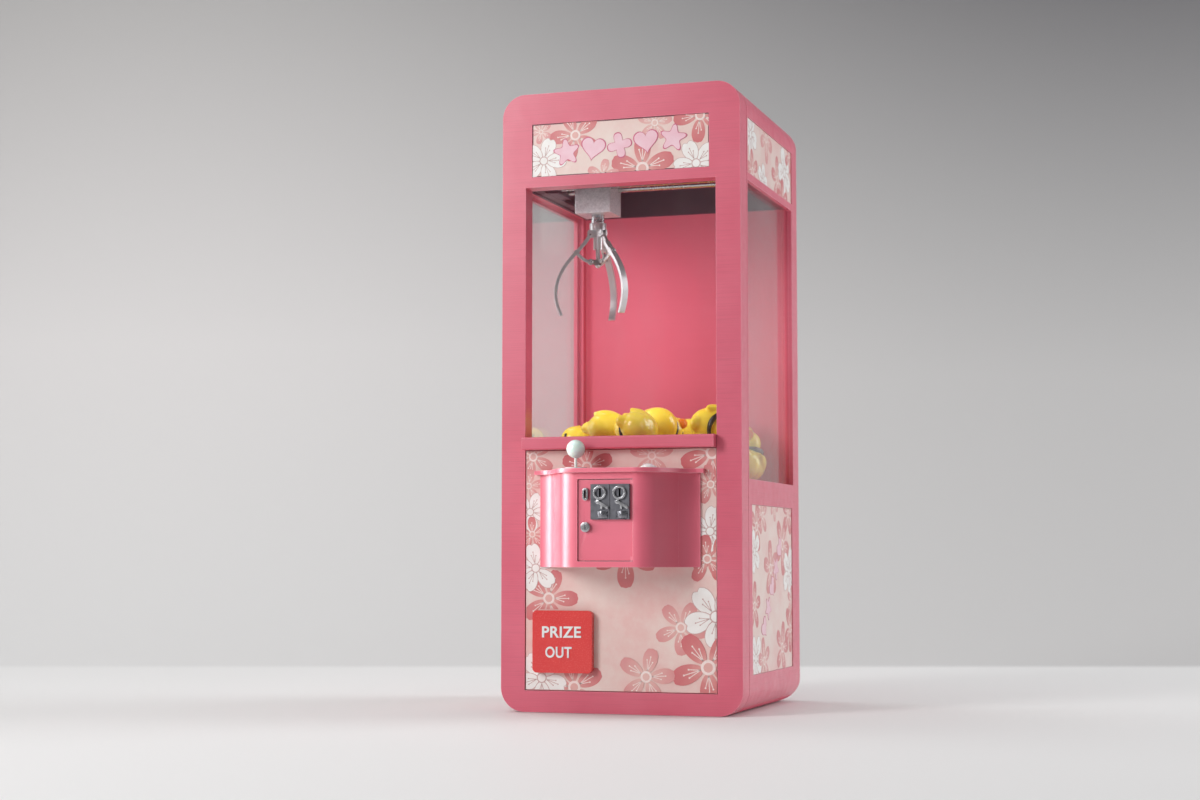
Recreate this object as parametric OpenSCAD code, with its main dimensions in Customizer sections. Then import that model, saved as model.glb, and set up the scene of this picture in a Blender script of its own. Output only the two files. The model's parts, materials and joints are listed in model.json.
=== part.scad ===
// Claw crane machine, a one-twelfth scale model that is posed by hand.
// Millimetres. The origin is on the floor under the middle of the cabinet, +Z is up, and the
// front faces -Y, so +X is to the right of a player who looks at the machine.

/* [Cabinet] */
// Width of the cabinet
cabinet_w = 65; // [64:0.5:67]
// Depth of the cabinet, from the bezel's face to the back
cabinet_d = 65; // [64:0.5:67]
// Height of the cabinet
cabinet_h = 162.5; // [161:0.5:164]
// Thickness of the cabinet's walls
wall = 2.5; // [2.3:0.1:2.8]
// Radius of the cabinet's long rounded edges, in the front view
corner_r = 6.3; // [5:0.1:7]
// Radius of the rounded edges at the back, in the side view
back_r = 6; // [5:0.1:7]
// Thickness of the front bezel
bezel_t = 6.8; // [6.5:0.1:7]

/* [Openings] */
// Width of the opening in the bezel
opening_w = 51.8; // [51:0.1:52]
// Height of the sill under the opening
sill_h = 5.6; // [5:0.1:6]
// Height of the opening's top edge
opening_top = 137.4; // [137:0.1:138]
// Underside of the ledge below the front window
ledge_z = 67.9; // [67.5:0.1:68.5]
// Top of the deck that the prizes lie on
deck_z = 60; // [59.5:0.1:60]
// Height where the pink walls end and the dark gantry housing begins
housing_z = 138.9; // [138.5:0.1:139]

/* [Crane] */
// Where the claw hangs at rest, left to right
claw_x = -14.1; // [-15:0.1:-13]
// Where the claw hangs at rest, front to back
claw_y = -7.4; // [-8:0.1:-7]
// Underside of the carriage block
carriage_z = 133.5; // [133:0.1:134]
// How far the hoist lowers the claw
hoist_travel = 21; // [15:0.5:21]
// Height of the pivots at the top of the fingers
finger_pivot_z = 128; // [127.8:0.1:128.2]
// Distance of those pivots from the claw's centre line
finger_pivot_r = 2.2; // [2.1:0.05:2.3]

/* [Controls] */
// Underside of the control box
box_z = 37.5; // [37:0.1:38]
// Top face of the control panel
panel_z = 62.5; // [62.3:0.1:62.7]
// Distance of the joystick and of the button from the middle
control_x = 9.7; // [9.6:0.1:9.8]
// Radius of the joystick's ball
ball_r = 2.4; // [2:0.1:2.6]

/* [Hidden] */
$fn = 48;
gap = 0.05;           // clearance between neighbouring pieces
pin_gap = 0.03;       // running clearance of a small pin, on the radius
slide_gap = 0.04;     // running clearance of a sliding rod, on the radius
sheet_t = 0.25;       // printed sheets
front_y = -cabinet_d / 2;
back_y = cabinet_d / 2;
seam_y = front_y + bezel_t;
side_x = cabinet_w / 2;
inner_x = side_x - wall;
inner_back_y = back_y - wall;
half_open = opening_w / 2;
glass_t = 1;
glass_depth = 1.1;
glass_lip = 1.2;
glass_y = front_y + 5.1;
ledge_top = ledge_z + 3.3;

// side windows and side print recesses, as [front, bottom] and [back, top]
side_window = [[-25, deck_z + 0.1], [25.9, 137.7]];
side_header = [[-24.7, 139.7], [26.5, 154.3]];
side_lower = [[-22.1, 9.9], [24.1, 53.6]];
header = [[-24.2, 140.2], [24.2, 154.3]];
recess = 0.5;

// rear hatch, its cover and the cover's screws
cover_t = 0.9;
cover_x = 26;
cover_z = [7, 58];
hatch_x = 22;
hatch_z = [11, 54];
screw_x = [-24, 24];
screw_z = [14, 51];

// lower front panel, its sheet and the prize opening
panel_y = front_y + 0.6;
print_y = panel_y - sheet_t;
prize_hole = [[-22, 11.5], [-8.2, 24]];
chute_lo = [-24.6, -29.7];
chute_hi = [-6.4, -13];
chute_wall = 0.8;

// prize door
door_t = 1.8;
door_back_y = print_y - 0.15;
door_lo = [-23.2, 10.3];
door_hi = [-7, 26.3];
door_pin_y = door_back_y - 0.8;
door_pin_z = door_hi[1] - 0.9;
ear_x = [-20, -10.2];

// control box plan: on each side of a flat face, a convex sweep, a straight and a concave
// sweep of the same radius run back to a thin lip at the cabinet
box_flat = 7.9;
box_lip_x = 21.6;
box_front_y = front_y - 12.5;
lip_y = print_y - 0.6;
sweep_turn = 60;
sweep_w = box_lip_x - box_flat;
sweep_d = lip_y - box_front_y;
sweep_r = (sweep_w * sin(sweep_turn) - sweep_d * cos(sweep_turn)) / (2 * (1 - cos(sweep_turn)));
sweep_y = box_front_y + sweep_r;
panel_lip_x = 22.8;
box_wall = 1.6;
panel_t = 1.1;
overhang = 1.3;
control_y = front_y - 6.5;
joy_pivot_z = 60.4;
ball_z = 67.7;
button_cap_r = 1.9;

// coin door
coin_lo = [-7.1, 39.15];
coin_hi = [7.3, 59.55];
coin_front_y = box_front_y + 0.4;
coin_t = 0.9;
coin_pin_r = 0.2;
coin_pin = [6.9, coin_front_y + 0.25];
plate_t = 0.8;
plate_face_y = coin_front_y - plate_t;
plate_z = [49.5, 58.4];
plate_left = [-3.6, 1.6];
plate_w = 5.05;
ring_z = 56.2;
lever_pivot = [2.1, 53.9];   // from the left edge of its plate, and up
lock_at = [-5.05, 47.6];
token_at = [-5.1, 55.9];

// gantry
housing_y = -19.8;
housing_t = 0.8;
rail_z = [139.4, 142.6];
rod_z = 141;
rod_r = 0.9;
rod_y = [claw_y - 3.3, claw_y + 3.3];
truck_x = [23.8, 26.8];
block_w = 10.1;
block_d = 9.8;
block_top = 143.6;
sleeve_z = 131.2;
hoist_r = 1.1;
hoist_top = 157;

// claw
head_bottom_z = 124;
knee_r = 6;
knee_z = 123.1;
hub_pin_r = 2;
hub_pin_z = 120.6;
finger_w = 1.8;
finger_t = 0.95;
finger_turn = 86;

// ---- helpers -------------------------------------------------------------------------

// a box from its lowest corner to its highest corner
module block(lo, hi) {
    translate(lo) cube(hi - lo);
}

// extrude a front view, drawn in X and Z, from y0 to y1
module along_y(y0, y1) {
    translate([0, y1, 0]) rotate([90, 0, 0]) linear_extrude(height = y1 - y0) children();
}

// extrude a side view, drawn in Y and Z, from x0 to x1
module along_x(x0, x1) {
    translate([x0, 0, 0]) rotate([90, 0, 90]) linear_extrude(height = x1 - x0) children();
}

// a rectangle with true arcs at its corners
module rounded_rect(lo, hi, r) {
    translate([lo[0] + r, lo[1]]) square([hi[0] - lo[0] - 2 * r, hi[1] - lo[1]]);
    translate([lo[0], lo[1] + r]) square([hi[0] - lo[0], hi[1] - lo[1] - 2 * r]);
    for (x = [lo[0] + r, hi[0] - r], y = [lo[1] + r, hi[1] - r]) translate([x, y]) circle(r);
}

// the cabinet's front outline, moved in by an inset
module front_outline(inset) {
    rounded_rect([-side_x + inset, inset], [side_x - inset, cabinet_h - inset], corner_r - inset);
}

// the cabinet's side outline, square at the front and rounded at the back
module side_outline(inset) {
    reach = 10;
    rounded_rect([front_y - reach, inset], [back_y - inset, cabinet_h - inset], back_r - inset);
}

// the cabinet's form behind y0, moved in by an inset
module cabinet_form(inset, y0) {
    intersection() {
        along_y(y0, back_y - inset) front_outline(inset);
        along_x(-side_x, side_x) side_outline(inset);
    }
}

// an opening in both side walls, from depth a to depth b measured inwards from the outside
module side_cut(area, a, b, grow) {
    for (s = [-1, 1]) {
        x0 = s * (side_x - a);
        x1 = s * (side_x - b);
        block([min(x0, x1), area[0][0] - grow, area[0][1] - grow],
              [max(x0, x1), area[1][0] + grow, area[1][1] + grow]);
    }
}

// a pin along X, Y or Z through a point
module pin_x(x0, x1, y, z, r) {
    translate([x0, y, z]) rotate([0, 90, 0]) cylinder(h = x1 - x0, r = r);
}

module pin_y(x, y0, y1, z, r) {
    translate([x, y0, z]) rotate([-90, 0, 0]) cylinder(h = y1 - y0, r = r);
}

module pin_z(x, y, z0, z1, r) {
    translate([x, y, z0]) cylinder(h = z1 - z0, r = r);
}

// ---- cabinet -------------------------------------------------------------------------

module cabinet_shell() {
    color("palevioletred") difference() {
        cabinet_form(0, seam_y);
        cabinet_form(wall, seam_y - 1);
        side_cut(side_window, -1, wall + 1, 0);
        side_cut(side_window, glass_depth, wall + 1, glass_lip);
        side_cut(side_header, -1, recess, 0);
        side_cut(side_lower, -1, recess, 0);
        block([-cover_x, back_y - cover_t, cover_z[0]], [cover_x, back_y + 1, cover_z[1]]);
        block([-hatch_x, inner_back_y - 1, hatch_z[0]], [hatch_x, back_y + 1, hatch_z[1]]);
        for (x = screw_x, z = screw_z) pin_y(x, back_y - 2, back_y + 1, z, 0.5);
    }
}

module front_bezel() {
    groove = 0.3;
    glass_hi = [27.5, 139.1];
    color("palevioletred") difference() {
        union() {
            along_y(front_y, seam_y - groove) front_outline(0);
            along_y(seam_y - groove, seam_y) front_outline(groove);
        }
        block([-half_open, front_y - 1, sill_h], [half_open, seam_y + 1, opening_top]);
        block([header[0][0], front_y - 1, header[0][1]], [header[1][0], front_y + recess, header[1][1]]);
        block([-glass_hi[0], glass_y, ledge_z + 1.5], [glass_hi[0], seam_y + 1, glass_hi[1]]);
    }
}

module front_glass() {
    color([0.85, 0.92, 0.95, 0.35])
        block([-27.4, glass_y + 0.01, ledge_z + 1.6], [27.4, glass_y + glass_t, 139]);
}

module side_glass(s) {
    x0 = s * (side_x - glass_depth - 0.01);
    x1 = s * (side_x - glass_depth - glass_t);
    lip = glass_lip - 0.1;
    color([0.85, 0.92, 0.95, 0.35])
        block([min(x0, x1), seam_y + gap, side_window[0][1] - lip],
              [max(x0, x1), side_window[1][0] + lip, side_window[1][1] + lip]);
}

module header_print() {
    color("mistyrose") block([header[0][0] + gap, front_y + recess - sheet_t, header[0][1] + gap],
                             [header[1][0] - gap, front_y + recess, header[1][1] - gap]);
}

module side_header_prints() {
    color("mistyrose") side_cut(side_header, recess - sheet_t, recess, -gap);
}

module side_lower_prints() {
    color("mistyrose") side_cut(side_lower, recess - sheet_t, recess, -gap);
}

module lower_front_panel() {
    back = panel_y + 2;
    color("palevioletred") difference() {
        union() {
            block([-half_open + gap, panel_y, sill_h + gap], [half_open - gap, back, ledge_z - gap]);
            for (x = ear_x) {
                block([x - 0.5, door_pin_y, door_pin_z - 0.6], [x + 0.5, back, door_pin_z + 0.6]);
                pin_x(x - 0.5, x + 0.5, door_pin_y, door_pin_z, 0.6);
            }
        }
        block([prize_hole[0][0], panel_y - 1, prize_hole[0][1]],
              [prize_hole[1][0], back + 1, prize_hole[1][1]]);
        block([-11, panel_y - 1, 41], [11, back + 1, 58]);
        pin_x(-24, -6, door_pin_y, door_pin_z, 0.25 + pin_gap);
    }
}

module lower_front_print() {
    color("mistyrose") difference() {
        block([-half_open + 0.2, print_y, sill_h + 0.2], [half_open - 0.2, panel_y, ledge_z - 0.2]);
        block([prize_hole[0][0], print_y - 1, prize_hole[0][1]],
              [prize_hole[1][0], panel_y + 1, prize_hole[1][1]]);
        block([-11, print_y - 1, 41], [11, panel_y + 1, 58]);
        for (x = ear_x)
            block([x - 0.6, print_y - 1, door_pin_z - 0.7], [x + 0.6, panel_y + 1, door_pin_z + 0.7]);
    }
}

module window_ledge() {
    nose_y = front_y - 3;
    nose_r = 0.5;
    color("palevioletred") along_x(-half_open + 0.05, half_open - 0.05) {
        translate([nose_y + nose_r, ledge_z]) square([glass_y - nose_y - nose_r, ledge_top - ledge_z]);
        translate([nose_y, ledge_z + nose_r]) square([nose_r, ledge_top - ledge_z - 2 * nose_r]);
        for (z = [ledge_z + nose_r, ledge_top - nose_r]) translate([nose_y + nose_r, z]) circle(nose_r);
    }
}

module play_deck() {
    side = inner_x - gap;
    hole_lo = [chute_lo[0] + chute_wall, chute_lo[1] + chute_wall];
    hole_hi = [chute_hi[0] - chute_wall, chute_hi[1] - chute_wall];
    deck_t = 1.5;
    color("hotpink") difference() {
        union() {
            block([-half_open + gap, panel_y + 2.1, deck_z - deck_t], [half_open - gap, seam_y, deck_z]);
            block([-side, seam_y, deck_z - deck_t], [side, inner_back_y - gap, deck_z]);
        }
        block([hole_lo[0], hole_lo[1], deck_z - deck_t - 1], [hole_hi[0], hole_hi[1], deck_z + 1]);
    }
}

module prize_chute() {
    top = deck_z - 1.6;
    lo = chute_lo + [chute_wall, chute_wall];
    hi = chute_hi - [chute_wall, chute_wall];
    color("hotpink") difference() {
        block([chute_lo[0], chute_lo[1], 9], [chute_hi[0], chute_hi[1], top]);
        along_x(lo[0], hi[0]) polygon([
            [lo[1], prize_hole[0][1]], [hi[1], 22], [hi[1], top + 1], [lo[1], top + 1]]);
        block([prize_hole[0][0], chute_lo[1] - 1, prize_hole[0][1]],
              [prize_hole[1][0], lo[1] + 0.1, prize_hole[1][1]]);
    }
}

// a low clear fence on the two sides of the chute that face the prizes
module chute_guard() {
    guard_h = 10;
    t = 0.8;
    color([0.85, 0.92, 0.95, 0.35]) {
        block([chute_hi[0], glass_y + glass_t + 0.1, deck_z],
              [chute_hi[0] + t, chute_hi[1], deck_z + guard_h]);
        block([chute_lo[0], chute_hi[1], deck_z], [chute_hi[0] + t, chute_hi[1] + t, deck_z + guard_h]);
    }
}

module rear_cover() {
    plug_y = inner_back_y + 0.4;
    color("palevioletred") difference() {
        union() {
            block([-cover_x + gap, back_y - cover_t, cover_z[0] + gap],
                  [cover_x - gap, back_y, cover_z[1] - gap]);
            block([-hatch_x + gap, plug_y, hatch_z[0] + gap], [hatch_x - gap, back_y, hatch_z[1] - gap]);
        }
        for (x = screw_x, z = screw_z) {
            pin_y(x, back_y - 2, back_y + 2, z, 0.55);
            pin_y(x, back_y - 0.4, back_y + 1, z, 1.1);
        }
    }
}

module rear_cover_screws() {
    head_y = back_y - 0.4;
    color("silver") for (x = screw_x, z = screw_z) difference() {
        union() {
            pin_y(x, back_y - 1.9, head_y, z, 0.5);
            pin_y(x, head_y, back_y - 0.02, z, 1);
        }
        block([x - 0.7, head_y + 0.15, z - 0.12], [x + 0.7, back_y + 1, z + 0.12]);
        block([x - 0.12, head_y + 0.15, z - 0.7], [x + 0.12, back_y + 1, z + 0.7]);
    }
}

// ---- gantry --------------------------------------------------------------------------

module gantry_housing() {
    color("dimgray") intersection() {
        difference() {
            cabinet_form(wall + gap, housing_y);
            cabinet_form(wall + gap + housing_t, housing_y + housing_t);
        }
        block([-side_x, housing_y, housing_z], [side_x, back_y, cabinet_h]);
    }
}

// two channels whose slots face each other
module gantry_rails() {
    x1 = inner_x - gap - housing_t;
    x0 = x1 - 2.2;
    slot = [140.3, 141.7];
    color("gray") for (s = [0, 1]) mirror([s, 0, 0]) difference() {
        block([x0, housing_y + housing_t, rail_z[0]], [x1, inner_back_y - gap - housing_t, rail_z[1]]);
        block([x0 - 1, housing_y, slot[0]], [x0 + 1.5, back_y, slot[1]]);
    }
}

module gantry_trucks() {
    half = 5.5;
    tongue = [140.35, 141.65];
    color("darkslategray") for (s = [0, 1]) mirror([s, 0, 0]) difference() {
        union() {
            block([truck_x[0], claw_y - half, rail_z[0]], [truck_x[1], claw_y + half, rail_z[1]]);
            block([truck_x[1], claw_y - half, tongue[0]], [truck_x[1] + 1.3, claw_y + half, tongue[1]]);
        }
        for (y = rod_y) pin_x(truck_x[0] - 1, truck_x[0] + 2, y, rod_z, rod_r);
    }
}

module cross_rods() {
    reach = truck_x[0] + 2;
    color("silver") for (y = rod_y) pin_x(-reach, reach, y, rod_z, rod_r);
}

module carriage_block() {
    stop_r = 1.65;
    color("silver") difference() {
        block([claw_x - block_w / 2, claw_y - block_d / 2, carriage_z],
              [claw_x + block_w / 2, claw_y + block_d / 2, block_top]);
        for (y = rod_y) pin_x(claw_x - block_w, claw_x + block_w, y, rod_z, rod_r + slide_gap);
        pin_z(claw_x, claw_y, carriage_z - 1, 138, 1.8);
        pin_z(claw_x, claw_y, 137, block_top + 1, stop_r);
    }
}

// guide tube of the hoist, pressed into the carriage
module hoist_sleeve() {
    stop_z = hoist_top - hoist_travel - 1.05;
    color("gainsboro") difference() {
        pin_z(claw_x, claw_y, sleeve_z + 0.05, 138, 1.8);
        pin_z(claw_x, claw_y, sleeve_z - 1, stop_z, hoist_r + slide_gap);
        pin_z(claw_x, claw_y, stop_z, block_top, 1.65);
    }
}

module hoist_rod() {
    color("silver") {
        pin_z(claw_x, claw_y, 129.2, hoist_top, hoist_r);
        pin_z(claw_x, claw_y, hoist_top - 1, hoist_top, 1.6);
    }
}

// ---- claw ----------------------------------------------------------------------------

// place a finger's parts: X points outwards from the claw's centre line
module at_finger(i) {
    translate([claw_x, claw_y, 0]) rotate([0, 0, finger_turn + 120 * i]) children();
}

// a plate drawn in the radial plane, [distance from the centre line, height], of width w
module radial_plate(w) {
    rotate([90, 0, 0]) translate([0, 0, -w / 2]) linear_extrude(height = w) children();
}

module claw_head() {
    ear_t = 0.5;
    tongue = 0.9;
    ear_gap = tongue / 2 + 0.05;
    color("gainsboro") difference() {
        union() {
            pin_z(claw_x, claw_y, head_bottom_z, sleeve_z, 1.25);
            pin_z(claw_x, claw_y, 129.2, sleeve_z, 2.3);
            for (i = [0:2], s = [-1, 1]) at_finger(i)
                translate([0, s * (ear_gap + ear_t / 2), 0]) radial_plate(ear_t) {
                    translate([0.6, finger_pivot_z - 0.6]) square([finger_pivot_r - 0.6, 1.9]);
                    translate([finger_pivot_r, finger_pivot_z]) circle(0.6);
                    translate([finger_pivot_r - 0.1, finger_pivot_z]) square([0.7, 1.3]);
                }
        }
        for (i = [0:2]) at_finger(i) pin_y(finger_pivot_r, -3, 3, finger_pivot_z, 0.3);
        pin_z(claw_x, claw_y, 129.2, sleeve_z + 1, hoist_r);
        pin_z(claw_x, claw_y, head_bottom_z - 1, 128.4, 0.6 + slide_gap);
    }
}

module finger_pins() {
    color("silver") for (i = [0:2]) at_finger(i) pin_y(finger_pivot_r, -1.1, 1.1, finger_pivot_z, 0.3);
}

module claw_plunger() {
    slot = 0.7;
    color("gainsboro") difference() {
        union() {
            pin_z(claw_x, claw_y, hub_pin_z, 127.9, 0.6);
            for (i = [0:2]) at_finger(i) radial_plate(1.5) {
                translate([0, hub_pin_z - 0.55]) square([hub_pin_r, 1.1]);
                translate([hub_pin_r, hub_pin_z]) circle(0.55);
            }
            pin_z(claw_x, claw_y, hub_pin_z - 0.9, hub_pin_z + 0.55, 1.1);
            translate([claw_x, claw_y, hub_pin_z - 0.9]) sphere(0.8);
        }
        for (i = [0:2]) at_finger(i) block([0.8, -slot / 2, hub_pin_z - 2], [4, slot / 2, hub_pin_z + 2]);
        for (i = [0:2]) at_finger(i) pin_y(hub_pin_r, -2, 2, hub_pin_z, 0.25);
    }
}

module hub_pins() {
    color("silver") for (i = [0:2]) at_finger(i) pin_y(hub_pin_r, -0.75, 0.75, hub_pin_z, 0.25);
}

// a point on a cubic curve through four control points
function bezier(p, t) =
    pow(1 - t, 3) * p[0] + 3 * pow(1 - t, 2) * t * p[1] + 3 * (1 - t) * t * t * p[2] + t * t * t * p[3];

function bezier_slope(p, t) =
    3 * pow(1 - t, 2) * (p[1] - p[0]) + 6 * (1 - t) * t * (p[2] - p[1]) + 3 * t * t * (p[3] - p[2]);

function unit_left(v) = [-v[1], v[0]] / norm(v);

// outline of a strip that follows a cubic curve from share a to share b of its length,
// and changes in thickness from t0 to t1
function strip_side(p, a, b, t0, t1, steps, side) = [for (k = [0:steps])
    let (f = k / steps, u = a + (b - a) * f, half = (t0 + (t1 - t0) * f) / 2)
        bezier(p, u) + side * half * unit_left(bezier_slope(p, u))];

function reversed(list) = [for (k = [len(list) - 1:-1:0]) list[k]];

function strip(p, a, b, t0, t1, steps) =
    concat(strip_side(p, a, b, t0, t1, steps, 1), reversed(strip_side(p, a, b, t0, t1, steps, -1)));

module claw_finger(i) {
    pivot = [finger_pivot_r, finger_pivot_z];
    knee = [knee_r, knee_z];
    tip = [10.2, 106];
    arm = [pivot, pivot + [1.2, -1.9], knee + [-1.4, 1.4], knee];
    prong = [knee, [10.6, 118.4], [13.6, 112.6], tip];
    tongue = 0.9;
    slot = 0.6;
    color("gainsboro") at_finger(i) difference() {
        union() {
            radial_plate(tongue) {
                translate(pivot) circle(0.6);
                polygon(strip(arm, 0, 0.5, 1, 1, 6));
            }
            radial_plate(finger_w) {
                polygon(strip(arm, 0.42, 1, 1, finger_t, 8));
                translate(knee) circle(0.75);
                polygon(strip(prong, 0, 1, finger_t, 0.7, 26));
                translate(tip) circle(0.35);
            }
        }
        // room for the link, which swings down inside the knee as the claw closes
        radial_plate(slot) {
            translate(knee) circle(1.6);
            translate(knee + [-2, -2]) square([2, 2.3]);
        }
        pin_y(finger_pivot_r, -3, 3, finger_pivot_z, 0.3 + pin_gap);
        pin_y(knee_r, -3, 3, knee_z, 0.25 + pin_gap);
    }
}

// link from a finger's knee to the plunger, with the knee's rivet
module finger_link(i) {
    knee = [knee_r, knee_z];
    hub = [hub_pin_r, hub_pin_z];
    color("silver") at_finger(i) difference() {
        union() {
            radial_plate(0.5) {
                translate(knee) circle(0.55);
                polygon(strip([knee, knee + [-1.2, -1.3], hub + [1.5, 0.1], hub], 0, 1, 0.8, 0.8, 8));
                translate(hub) circle(0.85);
            }
            pin_y(knee_r, -0.9, 0.9, knee_z, 0.25);
        }
        pin_y(hub_pin_r, -2, 2, hub_pin_z, 0.5);
    }
}

// ---- control box ---------------------------------------------------------------------

// plan of the control box, grown outwards by g, with lips that reach out to x = lip_end
module counter_plan(g, lip_end) {
    r_out = sweep_r + g;
    r_in = sweep_r - g;
    root_y = print_y - gap;
    turn = [sin(sweep_turn), -cos(sweep_turn)];
    convex = [box_flat, sweep_y];
    concave = [box_lip_x, lip_y - sweep_r];
    // the straight lies a hair inside the arcs and the lip a hair over the concave one, so
    // that no edge is exactly tangent to an arc
    tuck = 0.02;
    leave = convex + (r_out - tuck) * turn;
    meet = concave - (r_in + tuck) * turn;
    lip_front = lip_y - g - tuck;
    front = sweep_y - r_out;
    difference() {
        union() {
            translate([-box_flat, front]) square([2 * box_flat, root_y - front]);
            translate([-lip_end, lip_front]) square([2 * lip_end, root_y - lip_front]);
            for (s = [0, 1]) mirror([s, 0]) {
                translate(convex) circle(r_out);
                difference() {
                    polygon([convex, leave, meet, [box_lip_x, meet[1]],
                             [box_lip_x, root_y], [box_flat, root_y]]);
                    translate(concave) circle(r_in);
                }
            }
        }
        translate([-cabinet_w, root_y]) square([2 * cabinet_w, 2 * sweep_r]);
    }
}

module control_box() {
    floor_t = 1.2;
    inner_r = sweep_r - box_wall;
    color("palevioletred") difference() {
        translate([0, 0, box_z]) linear_extrude(height = panel_z - panel_t - box_z)
            counter_plan(0, box_lip_x);
        translate([0, 0, box_z + floor_t]) linear_extrude(height = 40) {
            translate([-box_flat, sweep_y - inner_r]) square([2 * box_flat, sweep_r + inner_r + 2]);
            for (s = [-1, 1]) translate([s * box_flat, sweep_y]) circle(inner_r);
            translate([-box_flat - inner_r, sweep_y]) square([2 * (box_flat + inner_r), sweep_r + 2]);
        }
        block([coin_lo[0] - 0.15, box_front_y - 1, coin_lo[1] - 0.15],
              [coin_hi[0] + 0.15, box_front_y + 2, coin_hi[1] + 0.15]);
        pin_z(coin_pin[0], coin_pin[1], coin_lo[1] - 0.9, coin_hi[1] + 0.9, coin_pin_r + pin_gap);
    }
}

module control_top() {
    joystick_hole = 1.05;
    button_hole = 2;
    color("pink") difference() {
        translate([0, 0, panel_z - panel_t]) linear_extrude(height = panel_t)
            counter_plan(overhang, panel_lip_x);
        pin_z(-control_x, control_y, panel_z - 3, panel_z + 1, joystick_hole);
        pin_z(control_x, control_y, panel_z - 3, panel_z + 1, button_hole);
    }
}

module joystick_base() {
    color("white") difference() {
        pin_z(-control_x, control_y, panel_z, panel_z + 0.5, 2.8);
        pin_z(-control_x, control_y, panel_z - 1, panel_z + 1, 1.15);
    }
}

// two lugs under the panel that carry the gimbal
module joystick_bracket() {
    top = panel_z - panel_t;
    color("gray") for (s = [-1, 1]) difference() {
        union() {
            block([-control_x + s * 2 - 0.25, control_y - 0.6, joy_pivot_z],
                  [-control_x + s * 2 + 0.25, control_y + 0.6, top]);
            pin_x(-control_x + s * 2 - 0.25, -control_x + s * 2 + 0.25, control_y, joy_pivot_z, 0.6);
        }
        pin_x(-control_x - 4, -control_x + 4, control_y, joy_pivot_z, 0.2 + pin_gap);
    }
}

// ring that tilts front to back on its trunnions
module joystick_gimbal() {
    color("dimgray") difference() {
        union() {
            pin_z(-control_x, control_y, joy_pivot_z - 0.4, joy_pivot_z + 0.4, 1.6);
            pin_x(-control_x - 2.25, -control_x + 2.25, control_y, joy_pivot_z, 0.2);
        }
        pin_z(-control_x, control_y, joy_pivot_z - 1, joy_pivot_z + 1, 1);
        pin_y(-control_x, control_y - 3, control_y + 3, joy_pivot_z, 0.2 + pin_gap);
    }
}

module joystick_shaft() {
    color("gainsboro") {
        pin_z(-control_x, control_y, joy_pivot_z - 2.6, ball_z - 1.2, 0.4);
        pin_y(-control_x, control_y - 1.5, control_y + 1.5, joy_pivot_z, 0.2);
    }
}

module joystick_ball() {
    color("white") difference() {
        translate([-control_x, control_y, ball_z]) sphere(ball_r);
        pin_z(-control_x, control_y, ball_z - 4, ball_z - 1.2, 0.4);
    }
}

module button_bezel() {
    color("white") difference() {
        pin_z(control_x, control_y, panel_z, panel_z + 0.35, 2.35);
        pin_z(control_x, control_y, panel_z - 1, panel_z + 1, button_cap_r + slide_gap);
    }
}

// domed cap with a flange that keeps it under the panel
module button_cap() {
    shoulder_z = panel_z + 0.55;
    dome_h = 0.7;
    dome_r = (button_cap_r * button_cap_r + dome_h * dome_h) / (2 * dome_h);
    under_z = panel_z - panel_t;
    color("white") {
        pin_z(control_x, control_y, under_z - 0.5, shoulder_z, button_cap_r);
        pin_z(control_x, control_y, under_z - 0.5, under_z - 0.05, 2.25);
        intersection() {
            translate([control_x, control_y, shoulder_z + dome_h - dome_r]) sphere(dome_r);
            pin_z(control_x, control_y, shoulder_z - 0.2, shoulder_z + 2, button_cap_r);
        }
    }
}

module button_switch() {
    color("dimgray")
        block([control_x - 1.8, control_y - 1.5, 57.5], [control_x + 1.8, control_y + 1.5, 60.1]);
}

// ---- coin door -----------------------------------------------------------------------

module coin_door() {
    back_y2 = coin_front_y + coin_t;
    color("palevioletred") difference() {
        block([coin_lo[0], coin_front_y, coin_lo[1]], [coin_hi[0], back_y2, coin_hi[1]]);
        for (x = plate_left)
            block([x + plate_w / 2 - 0.5, coin_front_y - 1, ring_z - 1.3],
                  [x + plate_w / 2 + 0.5, back_y2 + 1, ring_z + 1.3]);
        block([token_at[0] - 0.35, coin_front_y - 1, token_at[1] - 1.1],
              [token_at[0] + 0.35, back_y2 + 1, token_at[1] + 1.1]);
        pin_y(lock_at[0], coin_front_y - 1, back_y2 + 1, lock_at[1], 0.7 + pin_gap);
        pin_z(coin_pin[0], coin_pin[1], coin_lo[1] - 1, coin_lo[1] + 1, coin_pin_r);
        pin_z(coin_pin[0], coin_pin[1], coin_hi[1] - 1, coin_hi[1] + 1, coin_pin_r);
    }
}

module coin_door_pins() {
    color("silver") {
        pin_z(coin_pin[0], coin_pin[1], coin_lo[1] - 0.8, coin_lo[1] + 1, coin_pin_r);
        pin_z(coin_pin[0], coin_pin[1], coin_hi[1] - 1, coin_hi[1] + 0.8, coin_pin_r);
    }
}

module coin_plates() {
    color("gray") for (x = plate_left) difference() {
        block([x, plate_face_y, plate_z[0]], [x + plate_w, coin_front_y, plate_z[1]]);
        block([x + plate_w / 2 - 0.25, plate_face_y - 1, ring_z - 1.1],
              [x + plate_w / 2 + 0.25, coin_front_y + 1, ring_z + 1.1]);
        pin_y(x + lever_pivot[0], plate_face_y - 1, plate_face_y + 0.65, lever_pivot[1], 0.25 + pin_gap);
    }
}

module coin_slot_rings() {
    color("silver") for (x = plate_left) difference() {
        pin_y(x + plate_w / 2, plate_face_y - 0.6, plate_face_y, ring_z, 1.75);
        pin_y(x + plate_w / 2, plate_face_y - 1, plate_face_y + 1, ring_z, 1.2);
    }
}

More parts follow.
